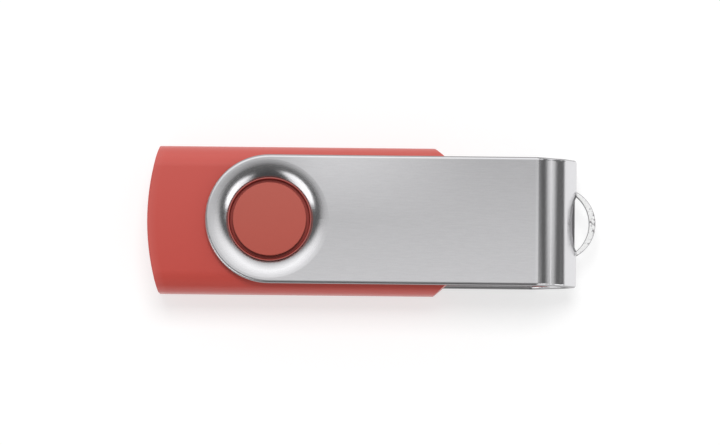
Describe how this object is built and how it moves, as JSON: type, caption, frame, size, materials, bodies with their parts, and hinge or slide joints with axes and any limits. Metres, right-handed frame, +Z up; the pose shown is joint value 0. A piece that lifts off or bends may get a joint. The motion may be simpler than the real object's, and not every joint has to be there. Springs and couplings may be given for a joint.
{
  "type": "usb flash drive",
  "caption": "Swivel USB flash drive: flat rounded plastic housing, USB-A plug under a folded metal clip that turns on a round boss, lanyard loop at the clip's nose.",
  "frame": {"origin": "bottom centre of the whole drive's box, with the clip closed over the plug", "axes": "+X along the drive from its rounded end towards the plug and the loop, +Z up through the pivot, +Y across"},
  "size_m": [0.0576, 0.019, 0.0104],
  "materials": {
    "red_housing": "satin moulded red plastic",
    "red_cap": "satin moulded red plastic",
    "clip_metal": "satin, with polished folded edges",
    "plug_steel": "nickel-plated steel",
    "white_insulator": "moulded",
    "gold_contact": "gold flash over phosphor bronze",
    "board_green": "solder mask over glass-epoxy laminate",
    "chip_black": "moulded epoxy",
    "tinned_lead": "tin-plated",
    "crystal_can": "plated can",
    "led_lens": "clear epoxy",
    "resistor_black": "ceramic chip with a black coat",
    "capacitor_tan": "bare ceramic chip",
    "ferrite_grey": "ceramic",
    "solder": "solder"
  },
  "bodies": {
    "drive": {"lower_housing": "red_housing", "upper_housing": "red_housing", "upper_pivot_cap": "red_cap", "lower_pivot_cap": "red_cap", "plug_shell": "plug_steel", "plug_insulator": "white_insulator", "vbus_contact": "gold_contact", "data_minus_contact": "gold_contact", "data_plus_contact": "gold_contact", "ground_contact": "gold_contact", "circuit_board": "board_green", "flash_memory_chip": "chip_black", "controller_chip": "chip_black", "flash_memory_leads": "tinned_lead", "controller_leads": "tinned_lead", "crystal_oscillator": "crystal_can", "voltage_regulator": "chip_black", "status_led": "led_lens", "led_resistor": "resistor_black", "pull_up_resistors": "resistor_black", "decoupling_capacitors": "capacitor_tan", "ferrite_bead": "ferrite_grey", "solder_joints": "solder"},
    "clip": {"swivel_clip": "clip_metal"}
  },
  "joints": [
    {"name": "clip_swivel", "type": "hinge", "parent": "drive", "child": "clip", "pos_m": [-0.01312, 0, 0.0052], "axis": [0, 0, 1], "continuous": true}
  ]
}
